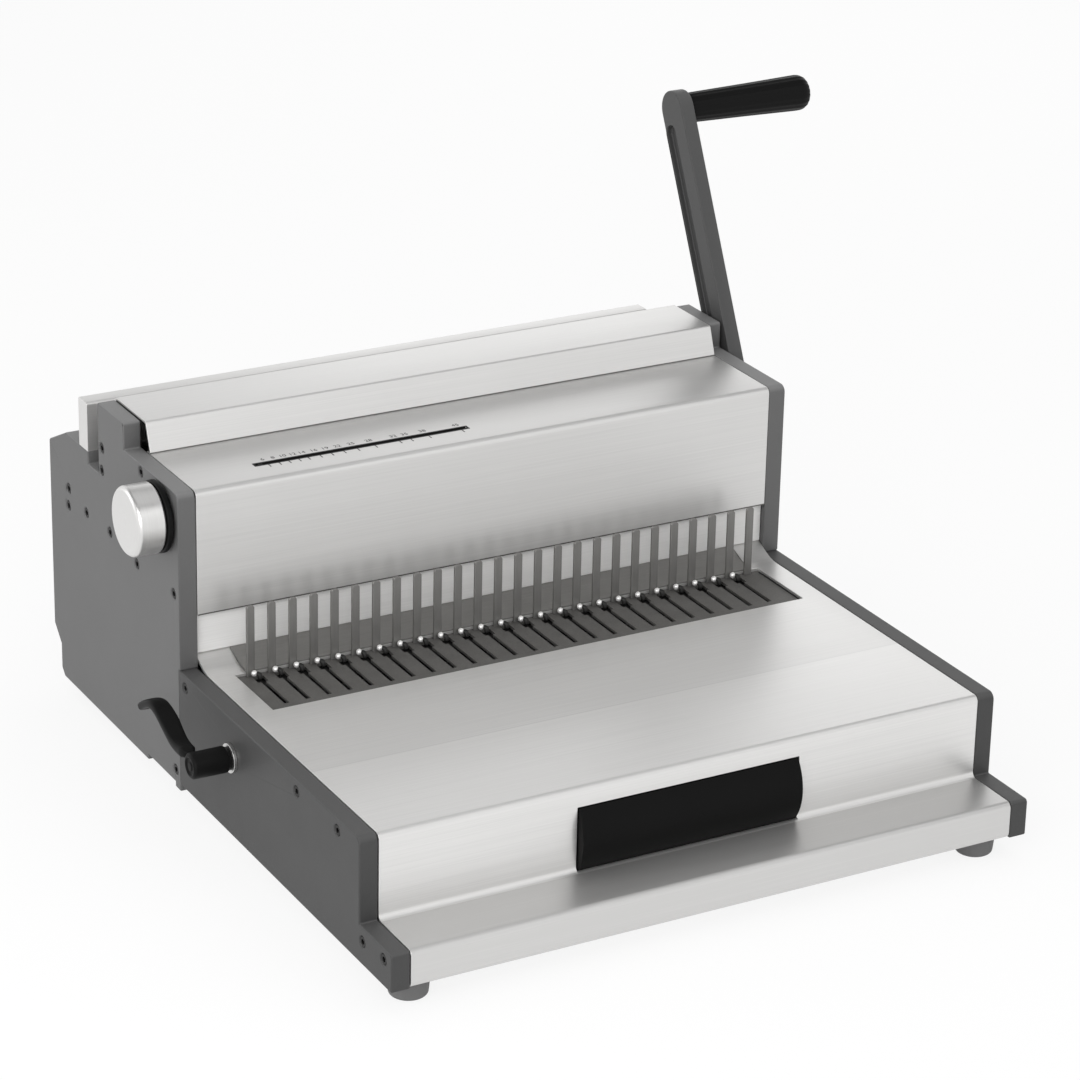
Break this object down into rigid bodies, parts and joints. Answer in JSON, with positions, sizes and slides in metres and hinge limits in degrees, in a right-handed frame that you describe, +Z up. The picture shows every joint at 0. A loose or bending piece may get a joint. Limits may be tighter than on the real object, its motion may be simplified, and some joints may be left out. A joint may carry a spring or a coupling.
{
  "type": "comb binding machine",
  "caption": "Heavy desk comb binding machine with a vertical lever punch, a hook and tine comb opener, a comb size selector and a chip drawer.",
  "frame": {"origin": "middle of the footprint of the whole machine, on the surface that the feet stand on", "axes": "+X along the machine to the side with the punch lever, +Y from the front ledge to the back, +Z up"},
  "size_m": [0.5674, 0.495, 0.3674],
  "materials": {
    "plate_paint": "fine textured satin paint",
    "cover_aluminium": "brushed along the machine",
    "dark_steel": "darkened and oiled",
    "zinc_steel": "bright zinc plated",
    "black_plastic": "fine grained",
    "grey_rubber": "matt",
    "bronze": "sintered bronze",
    "lever_paint": "textured paint",
    "knob_aluminium": "turned and satin"
  },
  "bodies": {
    "base": {"left_side_plate": "plate_paint", "right_side_plate": "plate_paint", "left_base_plate": "plate_paint", "right_base_plate": "plate_paint", "plate_screws_left": "dark_steel", "plate_screws_right": "dark_steel", "tie_bars": "zinc_steel", "housing_cover": "cover_aluminium", "head_cap": "cover_aluminium", "recess_panel": "cover_aluminium", "deck_panel": "cover_aluminium", "bottom_cover": "zinc_steel", "rear_cover": "plate_paint", "paper_rest": "cover_aluminium", "side_stop": "dark_steel", "feet": "grey_rubber", "foot_screws": "zinc_steel", "guide_plate": "dark_steel", "die_plate": "dark_steel", "margin_stop_bar": "zinc_steel", "guide_rods": "zinc_steel", "shaft_bearings": "bronze", "lever_stop_pin": "zinc_steel", "recess_rail": "dark_steel", "tines": "dark_steel", "tine_bar": "dark_steel", "slotted_plate": "dark_steel", "carriage_rods": "zinc_steel", "rod_blocks": "dark_steel", "opener_bushes": "bronze", "opener_washer": "zinc_steel", "spindle_bearing": "dark_steel", "drawer_runners": "zinc_steel", "chip_chute": "zinc_steel"},
    "punch_lever": {"lever_arm": "lever_paint", "main_shaft": "zinc_steel", "punch_pinions": "dark_steel", "lever_screw": "zinc_steel", "grip_bolt": "zinc_steel"},
    "punch_carriage": {"punch_bar": "dark_steel", "punch_pins": "zinc_steel", "punch_racks": "dark_steel", "bar_bushes": "bronze"},
    "grip": {"lever_grip": "black_plastic"},
    "selector": {"selector_knob": "knob_aluminium", "selector_spindle": "zinc_steel"},
    "pointer": {"pointer_slide": "black_plastic"},
    "opener": {"opener_shaft": "zinc_steel", "opener_pinions": "dark_steel", "opener_hub": "black_plastic", "opener_paddle": "black_plastic"},
    "hook_slide": {"hook_carriage": "dark_steel", "hooks": "dark_steel", "carriage_racks": "dark_steel"},
    "drawer": {"drawer_tray": "zinc_steel", "drawer_front": "black_plastic"}
  },
  "joints": [
    {"name": "punch_lever_hinge", "type": "hinge", "parent": "base", "child": "punch_lever", "pos_m": [0.1769, 0.1035, 0.1595], "axis": [1, 0, 0], "range_deg": [0, 60]},
    {"name": "punch_slide", "type": "slide", "parent": "base", "child": "punch_carriage", "axis": [0, 1, 0], "range_m": [0, 0.01257]},
    {"name": "grip_spin", "type": "hinge", "parent": "punch_lever", "child": "grip", "pos_m": [0.1877, 0.19773, 0.35442], "axis": [1, 0, 0], "continuous": true},
    {"name": "selector_turn", "type": "hinge", "parent": "base", "child": "selector", "pos_m": [-0.2562, 0.0645, 0.188], "axis": [1, 0, 0], "range_deg": [0, 1440]},
    {"name": "pointer_travel", "type": "slide", "parent": "base", "child": "pointer", "axis": [1, 0, 0], "range_m": [0, 0.14]},
    {"name": "opener_hinge", "type": "hinge", "parent": "base", "child": "opener", "pos_m": [-0.2562, -0.0345, 0.068], "axis": [1, 0, 0], "range_deg": [0, 115]},
    {"name": "hook_travel", "type": "slide", "parent": "base", "child": "hook_slide", "axis": [0, 1, 0], "range_m": [-0.0281, 0]},
    {"name": "drawer_slide", "type": "slide", "parent": "base", "child": "drawer", "axis": [0, -1, 0], "range_m": [0, 0.16]}
  ],
  "couplings": [
    {"joint": "punch_slide", "follows": "punch_lever_hinge", "m_per_rad": 0.012},
    {"joint": "pointer_travel", "follows": "selector_turn", "m_per_rad": 0.00557},
    {"joint": "hook_travel", "follows": "opener_hinge", "m_per_rad": -0.014}
  ]
}
